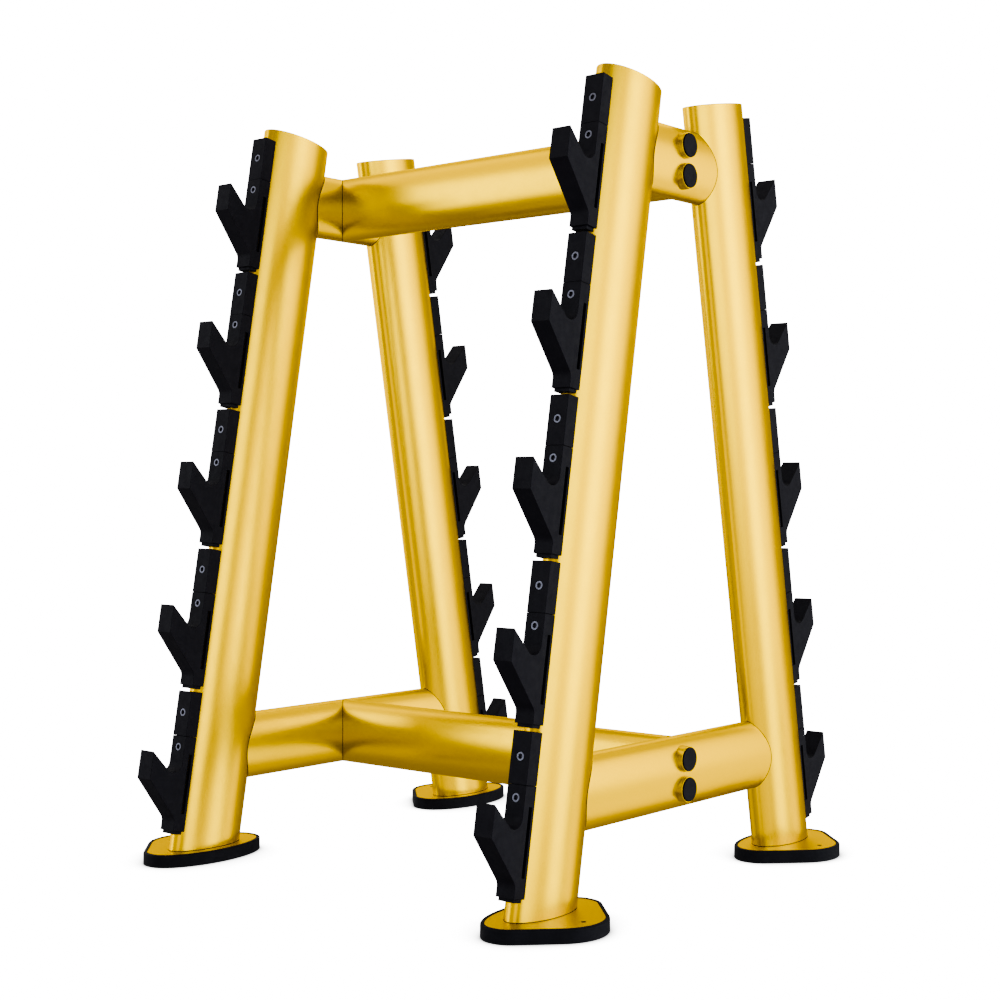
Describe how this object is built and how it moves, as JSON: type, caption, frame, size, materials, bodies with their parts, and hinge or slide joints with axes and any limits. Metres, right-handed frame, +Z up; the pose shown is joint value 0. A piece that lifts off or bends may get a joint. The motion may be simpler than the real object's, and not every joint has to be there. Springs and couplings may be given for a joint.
{
  "type": "barbell rack",
  "caption": "Two-sided A-frame barbell rack: oval gold-painted tubes, black barbell hooks up each leg, two cross beams, and foot plates in rubber boots.",
  "frame": {"origin": "on the floor, midway between the four feet", "axes": "+X along a stored barbell, -Y towards the front row of hooks, +Z up"},
  "size_m": [0.9898, 0.968, 1.3241],
  "materials": {
    "frame_paint": "satin metallic gold powder coat",
    "foot_plates": "satin metallic gold powder coat on flat plate",
    "hook_plastic": "moulded black plastic, fine texture",
    "cover_caps": "moulded black plastic",
    "boot_rubber": "matte black rubber",
    "screws": "dark zinc",
    "plated_steel": "bright zinc"
  },
  "bodies": {
    "root": {"bolt_cover_caps": "cover_caps", "bolt_sleeves": "frame_paint", "bolt_washers": "plated_steel", "foot_plate_back_left": "foot_plates", "foot_plate_back_right": "foot_plates", "foot_plate_front_left": "foot_plates", "foot_plate_front_right": "foot_plates", "frame_bolts": "plated_steel", "guard_screws": "screws", "guards_back_left": "hook_plastic", "guards_back_right": "hook_plastic", "guards_front_left": "hook_plastic", "guards_front_right": "hook_plastic", "hook_back_left_1": "hook_plastic", "hook_back_left_2": "hook_plastic", "hook_back_left_3": "hook_plastic", "hook_back_left_4": "hook_plastic", "hook_back_left_5": "hook_plastic", "hook_back_right_1": "hook_plastic", "hook_back_right_2": "hook_plastic", "hook_back_right_3": "hook_plastic", "hook_back_right_4": "hook_plastic", "hook_back_right_5": "hook_plastic", "hook_front_left_1": "hook_plastic", "hook_front_left_2": "hook_plastic", "hook_front_left_3": "hook_plastic", "hook_front_left_4": "hook_plastic", "hook_front_left_5": "hook_plastic", "hook_front_right_1": "hook_plastic", "hook_front_right_2": "hook_plastic", "hook_front_right_3": "hook_plastic", "hook_front_right_4": "hook_plastic", "hook_front_right_5": "hook_plastic", "hook_screws": "screws", "leg_back_left": "frame_paint", "leg_back_right": "frame_paint", "leg_front_left": "frame_paint", "leg_front_right": "frame_paint", "leg_top_cap_back_left": "frame_paint", "leg_top_cap_back_right": "frame_paint", "leg_top_cap_front_left": "frame_paint", "leg_top_cap_front_right": "frame_paint", "lower_stretcher": "frame_paint", "lower_stretcher_end_plates": "frame_paint", "lower_tie_left": "frame_paint", "lower_tie_right": "frame_paint", "rivet_nuts": "plated_steel", "rubber_boot_back_left": "boot_rubber", "rubber_boot_back_right": "boot_rubber", "rubber_boot_front_left": "boot_rubber", "rubber_boot_front_right": "boot_rubber", "upper_stretcher": "frame_paint", "upper_stretcher_end_plates": "frame_paint", "upper_tie_left": "frame_paint", "upper_tie_right": "frame_paint"}
  },
  "joints": []
}
